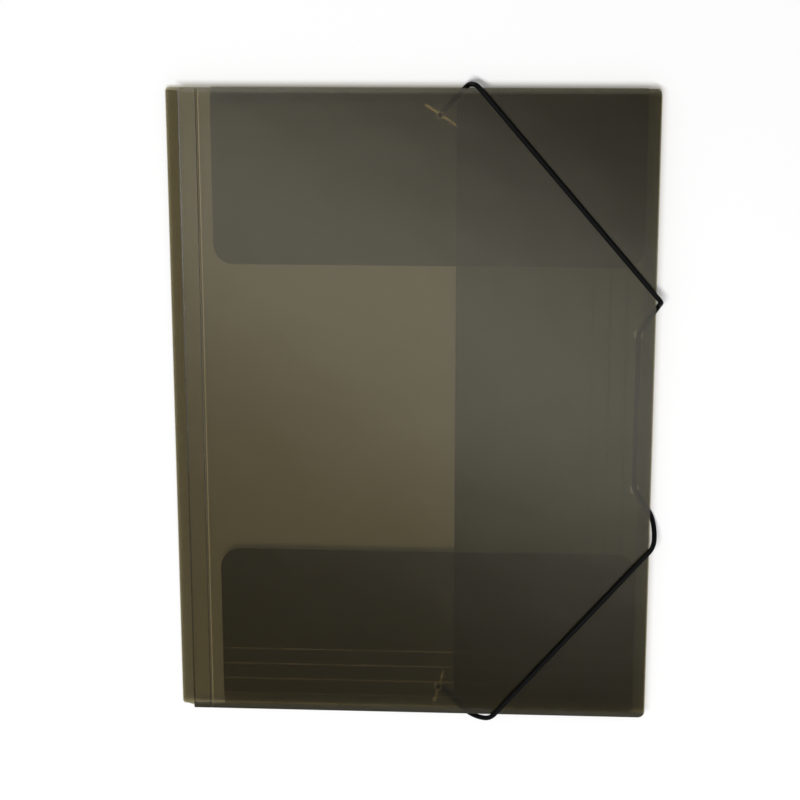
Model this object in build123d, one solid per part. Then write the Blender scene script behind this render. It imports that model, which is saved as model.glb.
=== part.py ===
"""Elastic folder for papers: one creased plastic sheet with three inner flaps, shut by one elastic cord.

It lies closed on its back: +Z is out of the front cover, +Y is the upper end, the spine is at -X and
the opening edge at +X. The origin is under the middle of the whole folder, cord included.
"""

import math
import os

from build123d import *

# Outline of the closed folder, over the creases
width = 240.0
height = 320.0
cover_corner = 3.5
back_corner = 1.2

# The sheet and its creases: one panel ends in a round bead, and its neighbour starts just clear of it
sheet = 0.5
bead_radius = 0.3
crease_clearance = 0.05

# Free space between the layers of the closed folder, and the strips that span it
inner_gap = 0.1
end_to_side_gap = 0.8
side_to_cover_gap = 0.3
spine_strip = 8.2
side_strip = 7.0
end_strip = 8.0

# Inner flaps, measured in from the folder's outline
end_flap_depth = 86.5
end_flap_from_spine = 22.3
end_flap_from_edge = 6.2
side_flap_depth = 98.0
side_flap_from_ends = 1.0
flap_corner = 10.0

# Scores for folding the sheet again when the folder is full
score_pitch = 8.2
flap_scores = 3
score_width = 0.6
score_depth = 0.15
cover_score_from_crease = 9.3
cover_score_width = 1.3

# Cord, and the steel clip crimped on each of its ends
cord = 2.5
cord_sides = 24
cord_gap = 0.1
edge_reach = 1.75
upper_wrap_bend = 3.0
lower_wrap_bend = 5.0
hole_bend = 3.4
clip_bend = 1.85
loop_start = 3.0
clip_length = 18.5
clip_width = 1.5
clip_thickness = 0.8
barrel_wall = 0.45
barrel_height = 1.9
barrel_fit = 0.05
clip_edge_bevel = 0.2

# Punched holes for the cord
hole = 4.8
clip_hole_from_middle = 14.0
clip_hole_from_end = 13.0
edge_hole_from_edge = 8.0
edge_hole_y = 39.7
hole_slant = 1.6

# The cord's turns round the outline: under the back, out beside the edge and over the cover.
# Each point is its place along that edge, from the folder's middle, and its axis's reach beyond the edge.
upper_end_turn = [(27.5, 1.5), (29.7, 1.9), (31.8, 1.5)]
upper_edge_turn = [(54.2, 1.9), (55.7, 2.3), (57.3, 2.1)]
lower_edge_turn = [(-54.3, 1.4), (-61.3, 2.7), (-68.0, 2.1)]
lower_end_turn = [(29.0, 2.0), (35.0, 3.1), (41.0, 1.9)]
upper_clip_turn = -33.4
lower_clip_turn = 73.9

# Heights and places that follow
middle_x = -(edge_reach + cord / 2) / 2
left_axis = middle_x - width / 2 + bead_radius
right_axis = middle_x + width / 2 - bead_radius
end_axis = height / 2 - bead_radius
back_z = cord + cord_gap + sheet / 2
back_top = back_z + sheet / 2
end_flap_rise = sheet + cord + inner_gap
side_flap_rise = end_flap_rise + sheet + end_to_side_gap
cover_rise = side_flap_rise + sheet + side_to_cover_gap
spine_angle = math.asin(cover_rise / spine_strip)
side_angle = math.asin(side_flap_rise / side_strip)
end_angle = math.asin(end_flap_rise / end_strip)
flap_low_x = middle_x - width / 2 + end_flap_from_spine
flap_high_x = middle_x + width / 2 - end_flap_from_edge
side_half_span = height / 2 - side_flap_from_ends
under_z = cord / 2
inside_z = back_top + cord_gap + cord / 2
over_z = back_z + cover_rise + sheet / 2 + cord_gap + cord / 2
clip_hole_x = middle_x + clip_hole_from_middle
clip_hole_y = height / 2 - clip_hole_from_end
edge_hole_x = middle_x + width / 2 - edge_hole_from_edge


def fold_frame(axis_point, inward, angle):
    """A panel's own frame: origin on its crease, x across the panel, z out of its outer face."""
    across = inward * math.cos(angle) + Vector(0, 0, 1) * math.sin(angle)
    outward = inward * -math.sin(angle) + Vector(0, 0, 1) * math.cos(angle)
    return Plane(origin=axis_point, x_dir=across, z_dir=outward)


def crease_rod(frame, across, low, high, radius):
    """A round rod along a crease, in a panel's frame."""
    place = frame.location * Pos(across, (low + high) / 2, 0) * Rot(90, 0, 0)
    return place * Cylinder(radius, high - low)


def score(frame, across, low, high, groove_width):
    """A rounded groove pressed into a panel's outer face, parallel to its crease."""
    radius = (groove_width**2 / 4 + score_depth**2) / (2 * score_depth)
    place = frame.location * Pos(across, (low + high) / 2, sheet / 2 + radius - score_depth) * Rot(90, 0, 0)
    return place * Cylinder(radius, high - low)


def panel(frame, length, low, high, corner):
    """A flat panel from its crease to its far edge, with the far corners rounded."""
    outline = Pos(length / 2, (low + high) / 2) * Rectangle(length, high - low)
    if corner:
        outline = fillet(outline.vertices().group_by(Axis.X)[-1], corner)
    return extrude(frame * outline, amount=sheet / 2, both=True)


def clear_of_crease(part, frame, low, high):
    """Starts a panel just clear of its neighbour's bead."""
    return part - crease_rod(frame, 0, low - cover_corner, high + cover_corner, bead_radius + crease_clearance)


def strip_on_back(frame, length, low, high):
    """A strip that rises from the back panel: mitred along the back, and beaded along its far edge."""
    strip = clear_of_crease(panel(frame, length, low, high, 0), frame, low, high)
    below = back_top + crease_clearance
    strip -= Pos(0, 0, below / 2) * Box(2 * width, 2 * height, below)
    return strip + crease_rod(frame, length, low, high, bead_radius)


def flap(frame, length, low, high, corner):
    """A flap with its row of scores, hinged on a strip's bead."""
    part = clear_of_crease(panel(frame, length, low, high, corner), frame, low, high)
    for number in range(1, flap_scores + 1):
        part -= score(frame, number * score_pitch, low, high, score_width)
    return part


def back_panel():
    plate_width = right_axis - left_axis
    plate = Pos(middle_x, 0) * RectangleRounded(plate_width, 2 * end_axis, back_corner)
    part = Pos(0, 0, back_z) * extrude(plate, amount=sheet / 2, both=True)
    left = fold_frame(Vector(left_axis, 0, back_z), Vector(1, 0, 0), 0)
    right = fold_frame(Vector(right_axis, 0, back_z), Vector(1, 0, 0), 0)
    straight = end_axis - back_corner
    part += crease_rod(left, 0, -straight, straight, bead_radius)
    part += crease_rod(right, 0, -straight, straight, bead_radius)
    for side in (-1, 1):
        end = fold_frame(Vector(0, side * end_axis, back_z), Vector(0, -1, 0), 0)
        part += crease_rod(end, 0, flap_low_x, flap_high_x, bead_radius)
        for x, y in ((clip_hole_x, clip_hole_y), (edge_hole_x, edge_hole_y)):
            part -= Pos(x, side * y, back_z) * Cylinder(hole / 2, 2 * sheet)
    return part


def spine_and_cover():
    half = end_axis - back_corner
    frame = fold_frame(Vector(left_axis, 0, back_z), Vector(1, 0, 0), spine_angle)
    spine = strip_on_back(frame, spine_strip, -half, half)
    cover_start = left_axis + spine_strip * math.cos(spine_angle)
    cover_frame = fold_frame(Vector(cover_start, 0, back_z + cover_rise), Vector(1, 0, 0), 0)
    cover_length = middle_x + width / 2 - cover_start
    cover = panel(cover_frame, cover_length, -height / 2, height / 2, cover_corner)
    cover = clear_of_crease(cover, cover_frame, -height / 2, height / 2)
    cover -= score(cover_frame, cover_score_from_crease, -height / 2, height / 2, cover_score_width)
    return spine, cover


def side_gusset_and_flap():
    half = side_half_span
    inward = Vector(-1, 0, 0)
    frame = fold_frame(Vector(right_axis, 0, back_z), inward, side_angle)
    gusset_half = min(half, end_axis - back_corner)
    gusset = strip_on_back(frame, side_strip, -gusset_half, gusset_half)
    reach = side_strip * math.cos(side_angle)
    flap_frame = fold_frame(Vector(right_axis - reach, 0, back_z + side_flap_rise), inward, 0)
    length = side_flap_depth - bead_radius - reach
    return gusset, flap(flap_frame, length, -half, half, flap_corner)


def end_gusset_and_flap(side):
    """The strip and flap of one end: side is +1 at the upper end and -1 at the lower."""
    inward = Vector(0, -side, 0)
    low, high = sorted((side * flap_low_x, side * flap_high_x))
    frame = fold_frame(Vector(0, side * end_axis, back_z), inward, end_angle)
    gusset = strip_on_back(frame, end_strip, low, high)
    reach = end_strip * math.cos(end_angle)
    flap_frame = fold_frame(Vector(0, side * (end_axis - reach), back_z + end_flap_rise), inward, 0)
    length = end_flap_depth - bead_radius - reach
    return gusset, flap(flap_frame, length, low, high, flap_corner)


def toward(start, goal, distance):
    return start + (goal - start).normalized() * distance


def cord_piece(name, points, bends):
    """A cord along straight runs joined by arcs, its round section taken as many flat sides.

    Its length and its volume are printed, with the volume due from its section.
    """
    path = FilletPolyline(*points, radius=bends)
    section = Plane(origin=path @ 0, z_dir=path % 0) * RegularPolygon(cord / 2, cord_sides)
    part = sweep(section, path=path)
    due = section.area * path.length
    print(f"{name}: {path.length:.1f} mm long, {part.volume:.1f} of {due:.1f} mm3, bends {bends}")
    return part


def clip(x, y, turn):
    """A steel bar lying across its hole, with a barrel in the middle that is crimped on the cord's end."""
    bar = extrude(SlotOverall(clip_length, clip_width), amount=clip_thickness)
    bar = chamfer(bar.faces().sort_by(Axis.Z)[-1].edges(), clip_edge_bevel)
    barrel_radius = cord / 2 + barrel_fit + barrel_wall
    barrel = Pos(0, 0, barrel_height / 2) * Cylinder(barrel_radius, barrel_height)
    barrel = chamfer(barrel.faces().sort_by(Axis.Z)[-1].edges(), barrel_wall / 3)
    bore = Pos(0, 0, barrel_height / 2) * Cylinder(cord / 2 + barrel_fit, 2 * barrel_height)
    return Pos(x, y, back_top) * Rot(0, 0, turn) * (bar + barrel - bore)


def cord_and_clips():
    """The whole cord, clip to clip, cut where it turns from the back round the outline."""
    parts = {}
    ends = {
        "upper": (1, upper_end_turn, upper_edge_turn, upper_wrap_bend, upper_clip_turn),
        "lower": (-1, lower_end_turn, lower_edge_turn, lower_wrap_bend, lower_clip_turn),
    }
    heights = (under_z, (under_z + over_z) / 2, over_z)
    middle = []
    for name, (side, end_turn, edge_turn, wrap_bend, clip_turn) in ends.items():
        clip_hole = Vector(clip_hole_x, side * clip_hole_y, under_z)
        edge_hole = Vector(edge_hole_x, side * edge_hole_y, under_z)
        round_end = [
            Vector(middle_x + place, side * (height / 2 + reach), z)
            for (place, reach), z in zip(end_turn, heights)
        ]
        round_edge = [
            Vector(middle_x + width / 2 + reach, place, z)
            for (place, reach), z in zip(edge_turn, heights)
        ]
        end_cut = toward(round_end[0], clip_hole, loop_start)
        edge_cut = toward(round_edge[0], edge_hole, loop_start)
        crimped_end = Vector(clip_hole_x, side * clip_hole_y, back_top + barrel_height)
        parts[f"{name}_clip_run"] = cord_piece(
            f"{name}_clip_run", [crimped_end, clip_hole, end_cut], [clip_bend]
        )
        loop_points = [end_cut, *round_end, *reversed(round_edge), edge_cut]
        parts[f"{name}_loop"] = cord_piece(f"{name}_loop", loop_points, [wrap_bend] * 6)
        parts[f"{name}_clip"] = clip(clip_hole_x, side * clip_hole_y, clip_turn)
        hole_out = toward(edge_hole, round_edge[0], hole_slant)
        hole_in = Vector(edge_hole_x, side * (edge_hole_y - hole_slant), inside_z)
        middle.append([edge_cut, hole_out, hole_in])
    upper_run, lower_run = middle
    middle_points = upper_run + lower_run[::-1]
    parts["middle_run"] = cord_piece("middle_run", middle_points, [hole_bend] * 4)
    return parts


def make_parts():
    parts = {"back_panel": back_panel()}
    parts["spine"], parts["front_cover"] = spine_and_cover()
    parts["side_gusset"], parts["side_flap"] = side_gusset_and_flap()
    parts["top_gusset"], parts["top_flap"] = end_gusset_and_flap(1)
    parts["bottom_gusset"], parts["bottom_flap"] = end_gusset_and_flap(-1)
    parts.update(cord_and_clips())
    return parts


os.makedirs("parts", exist_ok=True)
for node, solid in make_parts().items():
    export_step(solid, f"parts/{node}.step")
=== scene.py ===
"""The elastic folder, closed on its back: smoke-grey translucent sheet, black braided cord, steel clips.

Lengths are in metres. +Z is out of the front cover, +Y is the upper end and the spine is at -X.
"""

import math

import bpy
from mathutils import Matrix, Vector


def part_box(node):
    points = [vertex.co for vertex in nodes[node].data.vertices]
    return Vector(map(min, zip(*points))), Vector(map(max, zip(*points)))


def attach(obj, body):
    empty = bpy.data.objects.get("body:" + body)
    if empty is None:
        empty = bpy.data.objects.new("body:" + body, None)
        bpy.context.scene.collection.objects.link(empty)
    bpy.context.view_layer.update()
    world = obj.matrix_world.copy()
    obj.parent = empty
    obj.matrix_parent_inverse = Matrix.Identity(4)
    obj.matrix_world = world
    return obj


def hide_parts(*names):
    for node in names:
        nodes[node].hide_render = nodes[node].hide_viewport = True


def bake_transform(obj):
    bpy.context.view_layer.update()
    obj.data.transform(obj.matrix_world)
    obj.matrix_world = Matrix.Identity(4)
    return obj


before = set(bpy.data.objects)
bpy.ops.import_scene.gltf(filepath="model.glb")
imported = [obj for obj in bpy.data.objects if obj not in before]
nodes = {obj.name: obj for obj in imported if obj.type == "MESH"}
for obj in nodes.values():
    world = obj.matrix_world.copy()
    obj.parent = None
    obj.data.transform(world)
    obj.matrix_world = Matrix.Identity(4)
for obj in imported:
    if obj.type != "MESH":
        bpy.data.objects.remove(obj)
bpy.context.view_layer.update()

MM = 0.001

# Cord
cord_radius = 1.25 * MM
braid_relief = 0.07 * MM
braid_strands = 8
braid_lay = 5.2 * MM
braid_around = 40
braid_step = 0.3 * MM

# Heights of the cord's axis, in millimetres
under = 1.25
inside = 4.45
in_hole = 4.75
at_clip = 5.0
beside = 5.45
over = 9.65

# The cord's route, clip to clip, in millimetres
upper_route = [
    (12.5, 147.0, at_clip),
    (12.5, 147.0, under),
    (15.06, 149.75, under),
    (22.76, 158.02, under),
    (26.0, 161.5, under),
    (28.2, 161.9, beside),
    (30.3, 161.5, over),
    (33.39, 157.94, over),
    (117.65, 60.7, over),
    (120.6, 57.3, over),
    (120.8, 55.7, beside),
    (120.4, 54.2, under),
    (118.71, 51.72, under),
]
middle_route = [
    (118.71, 51.72, under),
    (112.52, 42.66, under),
    (110.5, 39.7, under),
    (110.5, 38.5, in_hole),
    (110.5, 34.52, inside),
    (110.5, -34.52, inside),
    (110.5, -38.5, in_hole),
    (110.5, -39.7, under),
    (112.42, -42.72, under),
    (118.28, -51.78, under),
]
lower_route = [
    (118.28, -51.78, under),
    (119.9, -54.3, under),
    (121.2, -61.3, beside),
    (120.6, -68.0, over),
    (115.42, -74.0, over),
    (44.35, -156.28, over),
    (39.5, -161.9, over),
    (33.5, -163.1, beside),
    (27.5, -162.0, under),
    (22.26, -156.76, under),
    (15.15, -149.65, under),
    (12.5, -147.0, under),
    (12.5, -147.0, at_clip),
]


def add_node(tree, kind, x, y, **settings):
    """A shader node at a place in the tree, with its settings."""
    node = tree.nodes.new(kind)
    node.location = (x, y)
    for name, value in settings.items():
        setattr(node, name, value)
    return node


def new_material(name):
    material = bpy.data.materials.new(name)
    material.use_nodes = True
    tree = material.node_tree
    shader = tree.nodes["Principled BSDF"]
    place = add_node(tree, "ShaderNodeTexCoord", -1600, 0).outputs["Object"]
    return material, tree, shader, place


def noise(tree, place, scale, detail, roughness, x, y):
    texture = add_node(tree, "ShaderNodeTexNoise", x, y)
    texture.inputs["Scale"].default_value = scale
    texture.inputs["Detail"].default_value = detail
    texture.inputs["Roughness"].default_value = roughness
    tree.links.new(place, texture.inputs["Vector"])
    return texture.outputs["Fac"]


def ramp(tree, factor, stops, x, y):
    """Colours by factor: stops are (position, colour)."""
    node = add_node(tree, "ShaderNodeValToRGB", x, y)
    elements = node.color_ramp.elements
    while len(elements) < len(stops):
        elements.new(0.5)
    for element, (position, colour) in zip(elements, stops):
        element.position = position
        element.color = (*colour, 1)
    tree.links.new(factor, node.inputs["Fac"])
    return node.outputs["Color"]


def remap(tree, value, low, high, to_low, to_high, x, y):
    node = add_node(tree, "ShaderNodeMapRange", x, y)
    for name, number in zip(("From Min", "From Max", "To Min", "To Max"), (low, high, to_low, to_high)):
        node.inputs[name].default_value = number
    tree.links.new(value, node.inputs["Value"])
    return node.outputs["Result"]


def combine(tree, operation, a, b, x, y):
    node = add_node(tree, "ShaderNodeMath", x, y, operation=operation)
    for value, entry in ((a, node.inputs[0]), (b, node.inputs[1])):
        if isinstance(value, (int, float)):
            entry.default_value = value
        else:
            tree.links.new(value, entry)
    return node.outputs["Value"]


def mix(tree, factor, a, b, x, y):
    node = add_node(tree, "ShaderNodeMix", x, y, data_type="RGBA")
    tree.links.new(factor, node.inputs["Factor"])
    for value, entry in ((a, node.inputs[6]), (b, node.inputs[7])):
        if isinstance(value, tuple):
            entry.default_value = (*value, 1)
        else:
            tree.links.new(value, entry)
    return node.outputs[2]


def bump(tree, shader, layers, x, y):
    """Bump layers in a chain: each is (height, strength, distance)."""
    normal = None
    for number, (height, strength, distance) in enumerate(layers):
        node = add_node(tree, "ShaderNodeBump", x + 200 * number, y)
        node.inputs["Strength"].default_value = strength
        node.inputs["Distance"].default_value = distance
        tree.links.new(height, node.inputs["Height"])
        if normal:
            tree.links.new(normal, node.inputs["Normal"])
        normal = node.outputs["Normal"]
    tree.links.new(normal, shader.inputs["Normal"])


# Sheet plastic: how much of each face is solid, the tint of what shows through and the tint of its shine, for
# the outer sheet and for a darker copy (painted shade) and a clearer copy (painted light) on the flaps; then
# the sheet's own colours and painted shade and highlight colours
outer_sheet = (0.22, (0.85, 0.818, 0.708), (0.99, 1.0, 0.95))
# Painted shade: a darker, warmer copy of the sheet for the top and bottom flaps, darkening the folder's lower
# end
end_flap_shaded_sheet = (0.25, (0.81, 0.775, 0.665), (1.0, 0.93, 0.8))
# Painted light: a clearer, lighter copy of the sheet for the side flap, so more shows through it
side_flap_lit_sheet = (0.19, (0.88, 0.85, 0.745), (1.0, 0.99, 0.95))
sheet_dark = (0.004, 0.003, 0.001)
sheet_light = (0.008, 0.006, 0.0025)
sheet_fleck = (0.020, 0.017, 0.010)
cut_solid = 0.2
speck_share = 0.55
# Pale crease lines, partly stress whitening and partly a painted highlight: the far edge of the cover's
# crease groove and the bottom flap's scores
crease_whitening_and_highlight = (0.30, 0.24, 0.13)
# Painted shade: dark, more solid lines along the cover's fold, the side flap's edge, the near edge of the
# cover's crease groove and the side and top flaps' scores
crease_painted_shade = (0.006, 0.005, 0.002)
# Painted highlight: a pale band along the cover's top edge
top_rim_painted_highlight = (0.10, 0.095, 0.07)
# Painted shade: a dark olive band, much more solid, along the cover's bottom edge
bottom_rim_painted_shade = (0.014, 0.011, 0.002)
# Pale cut edges: partly the paler look of the cut sheet, partly a painted highlight along its edges
pale_cut_edge_and_highlight = (0.09, 0.08, 0.04)

# Its finish: noise scales, bumps as strength and distance, and shine
flow_scale = 9.0
grain_scale = 1500.0
fleck_scale = 900.0
flow_bump = (0.35, 2 * MM)
grain_bump = (0.6, 0.09 * MM)
sheet_roughness = (0.18, 0.23)
sheet_ior = 1.49
sheet_shine = 0.22


def along_line(tree, split, axis, position, half_width, x, y):
    """A mask that is 1 along one line across the sheet and fades out over its soft edges."""
    off = combine(tree, "SUBTRACT", split.outputs[axis], position, x, y)
    off = combine(tree, "ABSOLUTE", off, 0.0, x + 180, y)
    return remap(tree, off, half_width * 0.5, half_width, 1.0, 0.0, x + 360, y)


def sheet_plastic(name, kind, lines):
    """Frosted smoke-grey sheet: fine grain, faint flow marks, pale cut edges that are partly a painted
    highlight, and lines where it is creased, painted shade and highlight with some whitening.

    kind is its solid share, the tint that shows through and the tint of its shine. Each line is (axis,
    position, half width, colour, how much more solid it is); the lines are painted shade and highlight.
    """
    solid_share, see_tint, shine_tint = kind
    material, tree, shader, place = new_material(name)
    flow = noise(tree, place, flow_scale, 3.0, 0.55, -1200, 300)
    grain = noise(tree, place, grain_scale, 2.0, 0.6, -1200, 0)
    fleck = noise(tree, place, fleck_scale, 1.0, 0.5, -1200, -300)
    colour = ramp(tree, flow, [(0.3, sheet_dark), (0.7, sheet_light)], -700, 300)
    specks = remap(tree, grain, 0.35, 0.75, 0.0, speck_share, -700, 60)
    colour = mix(tree, specks, colour, sheet_fleck, -400, 300)
    split = add_node(tree, "ShaderNodeSeparateXYZ", -1200, 600)
    tree.links.new(place.node.outputs["Normal"], split.inputs["Vector"])
    upright = combine(tree, "ABSOLUTE", split.outputs["Z"], 0.0, -1000, 600)
    cut = remap(tree, upright, 0.2, 0.5, 1.0, 0.0, -800, 600)
    # Upright faces, the cut edges, turn pale: partly a painted highlight
    colour = mix(tree, cut, colour, pale_cut_edge_and_highlight, -200, 300)
    solid = remap(tree, cut, 0.0, 1.0, solid_share, solid_share + cut_solid, -200, 600)
    split = add_node(tree, "ShaderNodeSeparateXYZ", -1400, -700)
    tree.links.new(place, split.inputs["Vector"])
    # Each line lays its painted shade or highlight on the sheet, patchy by noise, and makes the sheet more
    # solid there
    for number, (axis, position, half_width, line_colour, more_solid) in enumerate(lines):
        x, y = 200 * number, -700 - 180 * number
        mask = along_line(tree, split, axis, position, half_width, -1200, y)
        line_patchiness = remap(tree, fleck, 0.3, 0.6, 0.6, 1.0, -840, y - 90)
        broken = combine(tree, "MULTIPLY", mask, line_patchiness, -660, y)
        colour = mix(tree, broken, colour, line_colour, x, 300)
        more = combine(tree, "MULTIPLY", mask, more_solid, -480, y)
        solid = combine(tree, "ADD", solid, more, x, 600)
    tree.links.new(colour, shader.inputs["Base Color"])
    tree.links.new(remap(tree, fleck, 0.3, 0.7, *sheet_roughness, -700, -300), shader.inputs["Roughness"])
    bump(tree, shader, [(flow, *flow_bump), (grain, *grain_bump)], -400, -500)
    shader.inputs["IOR"].default_value = sheet_ior
    shader.inputs["Specular IOR Level"].default_value = sheet_shine
    shader.inputs["Specular Tint"].default_value = (*shine_tint, 1)
    clear = add_node(tree, "ShaderNodeBsdfTransparent", 300, 100)
    clear.inputs["Color"].default_value = (*see_tint, 1)
    both = add_node(tree, "ShaderNodeMixShader", 1400, 200)
    tree.links.new(solid, both.inputs["Fac"])
    tree.links.new(clear.outputs[0], both.inputs[1])
    tree.links.new(shader.outputs[0], both.inputs[2])
    tree.links.new(both.outputs[0], tree.nodes["Material Output"].inputs["Surface"])
    return material


# Cord yarn
yarn_dark = (0.0008, 0.0009, 0.001)
yarn_light = (0.0035, 0.0037, 0.004)
yarn_lint = (0.005, 0.005, 0.005)
yarn_roughness = (0.42, 0.6)
yarn_bump = (0.5, 0.05 * MM)
yarn_shine = 0.04
yarn_sheen = 0.004
yarn_sheen_roughness = 0.4


def cord_yarn():
    """Black braided yarn: dull, with a little sheen and lint."""
    material, tree, shader, place = new_material("black_braid")
    fibre = noise(tree, place, 5200.0, 2.0, 0.7, -1200, 200)
    patch = noise(tree, place, 260.0, 2.0, 0.5, -1200, -100)
    colour = ramp(tree, fibre, [(0.3, yarn_dark), (0.75, yarn_light)], -700, 200)
    lint = remap(tree, patch, 0.45, 0.75, 0.0, 0.4, -700, -50)
    colour = mix(tree, lint, colour, yarn_lint, -400, 200)
    tree.links.new(colour, shader.inputs["Base Color"])
    tree.links.new(remap(tree, fibre, 0.3, 0.7, *yarn_roughness, -700, -300), shader.inputs["Roughness"])
    bump(tree, shader, [(fibre, *yarn_bump)], -400, -400)
    shader.inputs["Specular IOR Level"].default_value = yarn_shine
    shader.inputs["Sheen Weight"].default_value = yarn_sheen
    shader.inputs["Sheen Roughness"].default_value = yarn_sheen_roughness
    return material


# Clip steel
steel_dull = (0.72, 0.70, 0.65)
steel_bright = (0.92, 0.90, 0.85)
steel_roughness = (0.16, 0.3)
steel_bump = (0.25, 0.04 * MM)


def clip_steel():
    """Nickel-plated steel with fine drawing marks and soft stains."""
    material, tree, shader, place = new_material("clip_steel")
    marks = noise(tree, place, 1400.0, 4.0, 0.65, -1200, 200)
    stain = noise(tree, place, 220.0, 3.0, 0.5, -1200, -100)
    colour = ramp(tree, stain, [(0.3, steel_dull), (0.7, steel_bright)], -700, 200)
    tree.links.new(colour, shader.inputs["Base Color"])
    tree.links.new(remap(tree, marks, 0.3, 0.7, *steel_roughness, -700, -200), shader.inputs["Roughness"])
    bump(tree, shader, [(marks, *steel_bump)], -400, -400)
    shader.inputs["Metallic"].default_value = 1.0
    return material


# Lines on the sheet, painted shade and highlight: half widths, the pitch of the scores, the cover's two
# crease lines from its fold and the widths of its rims
score_half = 0.4 * MM
score_pitch = 8.2 * MM
fold_half = 0.8 * MM
edge_half = 0.6 * MM
crease_half = 0.35 * MM
dark_crease_in = 8.6 * MM
pale_crease_in = 9.9 * MM
top_rim = 3.0 * MM
bottom_rim = 3.6 * MM

sheet_nodes = (
    "back_panel",
    "front_cover",
    "side_flap",
    "top_flap",
    "bottom_flap",
    "spine",
    "side_gusset",
    "top_gusset",
    "bottom_gusset",
)
X, Y = 0, 1


def low_side(node, axis):
    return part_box(node)[0][axis]


def high_side(node, axis):
    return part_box(node)[1][axis]


def sheet_lines():
    """The lines that each panel shows, as sheet_plastic takes them: painted shade and highlight along folds,
    scores and rims, with some whitening on the pale scores.
    """
    cover_fold, end = low_side("front_cover", X), high_side("front_cover", Y)
    flap_edge, side_fold = low_side("side_flap", X), high_side("side_flap", X)
    top_fold, bottom_fold = high_side("top_flap", Y), low_side("bottom_flap", Y)
    return {
        "front_cover": [
            (X, cover_fold, fold_half, crease_painted_shade, 0.35),
            (X, cover_fold + dark_crease_in, crease_half, crease_painted_shade, 0.3),
            (X, cover_fold + pale_crease_in, crease_half, crease_whitening_and_highlight, 0.1),
            (Y, end, top_rim, top_rim_painted_highlight, 0.1),
            (Y, -end, bottom_rim, bottom_rim_painted_shade, 0.68),
        ],
        "side_flap": [
            (X, flap_edge, edge_half, crease_painted_shade, 0.35),
            *((X, side_fold - n * score_pitch, score_half, crease_painted_shade, 0.15) for n in (1, 2, 3)),
        ],
        "top_flap": [(Y, top_fold - n * score_pitch, score_half, crease_painted_shade, 0.1) for n in (1, 2, 3)],
        "bottom_flap": [(Y, bottom_fold + n * score_pitch, score_half, crease_whitening_and_highlight, 0.35) for n in range(4)],
    }


def paint_sheets():
    """Each panel keeps its solid, and shows its own creases and scores as thin lines of painted shade and
    highlight; the end flaps take a darker copy of the sheet as painted shade and the side flap a clearer copy
    as painted light.
    """
    lines = sheet_lines()
    # End flaps take the darker copy (painted shade), the side flap the clearer copy (painted light)
    kinds = {"side_flap": side_flap_lit_sheet, "top_flap": end_flap_shaded_sheet, "bottom_flap": end_flap_shaded_sheet}
    for node in sheet_nodes:
        skin = sheet_plastic(f"{node}_sheet", kinds.get(node, outer_sheet), lines.get(node, []))
        for material_slot in nodes[node].material_slots:
            material_slot.material = skin


def route_line(name, route):
    """The smooth line of a stretch of cord, as points read from its spline."""
    curve = bpy.data.curves.new(name, "CURVE")
    curve.dimensions = "3D"
    curve.resolution_u = 24
    spline = curve.splines.new("NURBS")
    spline.points.add(len(route) - 1)
    for point, place in zip(spline.points, route):
        point.co = (*(Vector(place) * MM), 1)
    spline.order_u = 3
    spline.use_endpoint_u = True
    holder = bpy.data.objects.new(name, curve)
    bpy.context.scene.collection.objects.link(holder)
    line = bpy.data.meshes.new_from_object(holder)
    points = [v.co.copy() for v in line.vertices]
    bpy.data.objects.remove(holder)
    bpy.data.curves.remove(curve)
    bpy.data.meshes.remove(line)
    return points


def even_steps(points, step):
    """The same line at even steps, with each point's distance from the start."""
    lengths = [0.0]
    for a, b in zip(points, points[1:]):
        lengths.append(lengths[-1] + (b - a).length)
    count = max(2, round(lengths[-1] / step))
    result, index = [], 0
    for n in range(count + 1):
        goal = lengths[-1] * n / count
        while index < len(points) - 2 and lengths[index + 1] < goal:
            index += 1
        span = lengths[index + 1] - lengths[index]
        share = (goal - lengths[index]) / span if span else 0.0
        result.append((points[index].lerp(points[index + 1], share), goal))
    return result


def braid_height(turn, distance):
    """Relief of a round braid: two sets of strands, each over and under the other in turn."""
    a = braid_strands * turn + distance / braid_lay * braid_strands / 2
    b = braid_strands * turn - distance / braid_lay * braid_strands / 2
    crown_a = abs(math.cos(math.pi * a))
    crown_b = abs(math.cos(math.pi * b))
    weave = 0.5 + 0.5 * math.cos(math.pi * (a + b)) * math.cos(math.pi * (a - b))
    return crown_a * weave + crown_b * (1 - weave)


def braided_cord(name, route):
    """A braided round cord along a route, closed at both ends."""
    steps = even_steps(route_line(name, route), braid_step)
    vertices, faces = [], []
    normal = None
    for index, (point, distance) in enumerate(steps):
        before = steps[max(index - 1, 0)][0]
        after = steps[min(index + 1, len(steps) - 1)][0]
        tangent = (after - before).normalized()
        if normal is None:
            normal = tangent.orthogonal().normalized()
        normal = (normal - tangent * normal.dot(tangent)).normalized()
        side = tangent.cross(normal)
        for n in range(braid_around):
            turn = n / braid_around
            radius = cord_radius - braid_relief * (1 - braid_height(turn, distance))
            angle = 2 * math.pi * turn
            vertices.append(point + radius * (math.cos(angle) * normal + math.sin(angle) * side))
    rings = len(steps)
    for ring in range(rings - 1):
        for n in range(braid_around):
            m = (n + 1) % braid_around
            a, b = ring * braid_around, (ring + 1) * braid_around
            faces.append((a + n, a + m, b + m, b + n))
    faces.append(tuple(reversed(range(braid_around))))
    faces.append(tuple(range((rings - 1) * braid_around, rings * braid_around)))
    mesh = bpy.data.meshes.new(name)
    mesh.from_pydata(vertices, [], faces)
    mesh.update()
    mesh.shade_smooth()
    piece = bpy.data.objects.new(name, mesh)
    bpy.context.scene.collection.objects.link(piece)
    print(f"{name}: {steps[-1][1] / MM:.1f} mm long")
    return piece


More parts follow.
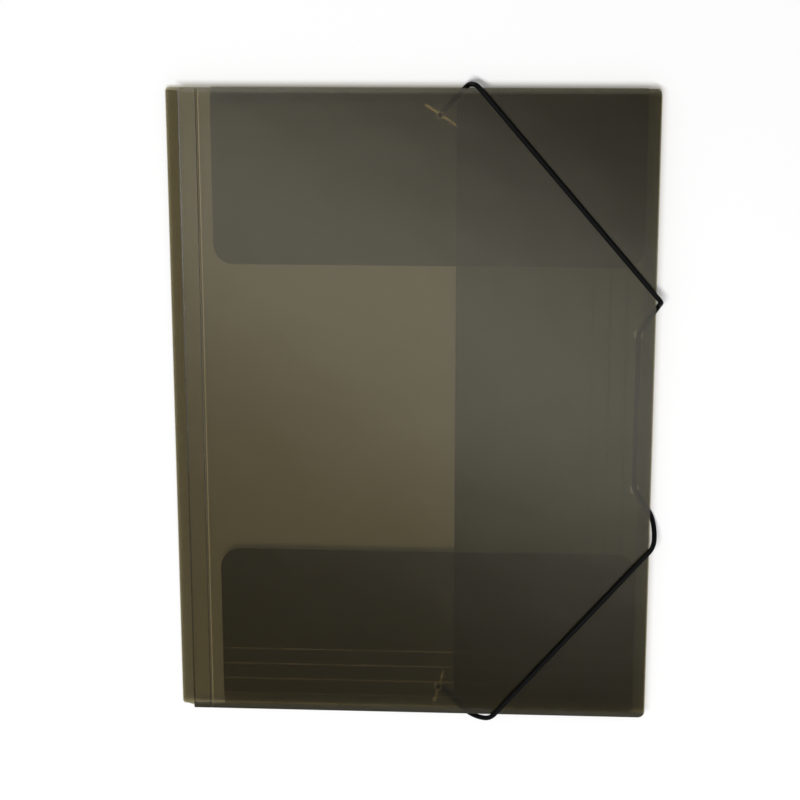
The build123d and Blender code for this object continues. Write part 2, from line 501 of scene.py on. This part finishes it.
def lay_cord():
    yarn = cord_yarn()
    pieces = {
        "upper_cord": (upper_route, ("upper_clip_run", "upper_loop"), "upper_band"),
        "middle_cord": (middle_route, ("middle_run",), None),
        "lower_cord": (lower_route, ("lower_clip_run", "lower_loop"), "lower_band"),
    }
    for name, (route, replaced, band) in pieces.items():
        piece = braided_cord(name, route)
        piece.data.materials.append(yarn)
        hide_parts(*replaced)
        if band:
            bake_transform(piece)
        else:
            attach(piece, "back")


def paint_clips():
    steel = clip_steel()
    for node in ("upper_clip", "lower_clip"):
        for material_slot in nodes[node].material_slots:
            material_slot.material = steel


# Floor, lamp and camera
floor_colour = (0.9, 0.9, 0.9)
floor_glow = 0.13
floor_half = 6.0
floor_drop = 0.1 * MM
world_light = 0.3
lamp_power = 28.0
lamp_place = (-0.14, -0.28, 1.9)
lamp_width = 1.3
lamp_depth = 0.3
camera_lens = 87.75
camera_place = (0.0531, 0.2337, 0.9504)
camera_turn = (-13.556, 3.628, -0.092)


def seen_directly(tree, x, y):
    """1 for rays from the camera, a mirror or glass, and 0 for rays that light the object."""
    path = add_node(tree, "ShaderNodeLightPath", x, y)
    seen = combine(tree, "MAXIMUM", path.outputs["Is Camera Ray"], path.outputs["Is Glossy Ray"], x + 200, y)
    return combine(tree, "MAXIMUM", seen, path.outputs["Is Transmission Ray"], x + 400, y)


def floor_finish():
    """Plain pale floor that shows as white and keeps the folder's shadow."""
    material = bpy.data.materials.new("floor")
    material.use_nodes = True
    tree = material.node_tree
    tree.nodes.clear()
    matt = add_node(tree, "ShaderNodeBsdfDiffuse", -400, 200)
    matt.inputs["Color"].default_value = (*floor_colour, 1)
    glow = add_node(tree, "ShaderNodeEmission", -400, 0)
    seen = seen_directly(tree, -1200, 0)
    tree.links.new(combine(tree, "MULTIPLY", seen, floor_glow, -600, 0), glow.inputs["Strength"])
    both = add_node(tree, "ShaderNodeAddShader", -200, 100)
    tree.links.new(matt.outputs[0], both.inputs[0])
    tree.links.new(glow.outputs[0], both.inputs[1])
    tree.links.new(both.outputs[0], add_node(tree, "ShaderNodeOutputMaterial", 0, 100).inputs["Surface"])
    return material


def lay_floor():
    mesh = bpy.data.meshes.new("floor")
    corners = [(x * floor_half, y * floor_half, -floor_drop) for x, y in ((-1, -1), (1, -1), (1, 1), (-1, 1))]
    mesh.from_pydata(corners, [], [(0, 1, 2, 3)])
    mesh.materials.append(floor_finish())
    plane = bpy.data.objects.new("floor", mesh)
    bpy.context.scene.collection.objects.link(plane)


def light_world():
    world = bpy.data.worlds.new("studio")
    bpy.context.scene.world = world
    world.use_nodes = True
    tree = world.node_tree
    background = tree.nodes["Background"]
    background.inputs["Color"].default_value = (1, 1, 1, 1)
    strength = remap(tree, seen_directly(tree, -900, 0), 0.0, 1.0, world_light, 1.0, -300, 0)
    tree.links.new(strength, background.inputs["Strength"])


def hang_lamp():
    """One soft rectangular lamp that faces the folder."""
    data = bpy.data.lights.new("softbox", "AREA")
    data.shape = "RECTANGLE"
    data.size = lamp_width
    data.size_y = lamp_depth
    data.energy = lamp_power
    lamp = bpy.data.objects.new("softbox", data)
    lamp.location = lamp_place
    lamp.rotation_euler = Vector(lamp_place).to_track_quat("Z", "Y").to_euler()
    bpy.context.scene.collection.objects.link(lamp)


def set_camera():
    data = bpy.data.cameras.new("camera")
    data.sensor_width = 36.0
    data.lens = camera_lens
    data.clip_start = 0.05
    data.clip_end = 20.0
    camera = bpy.data.objects.new("camera", data)
    camera.location = camera_place
    camera.rotation_euler = [math.radians(angle) for angle in camera_turn]
    bpy.context.scene.collection.objects.link(camera)
    bpy.context.scene.camera = camera


set_camera()
lay_cord()
paint_sheets()
paint_clips()
lay_floor()
light_world()
hang_lamp()
bpy.context.scene.view_settings.view_transform = "Standard"
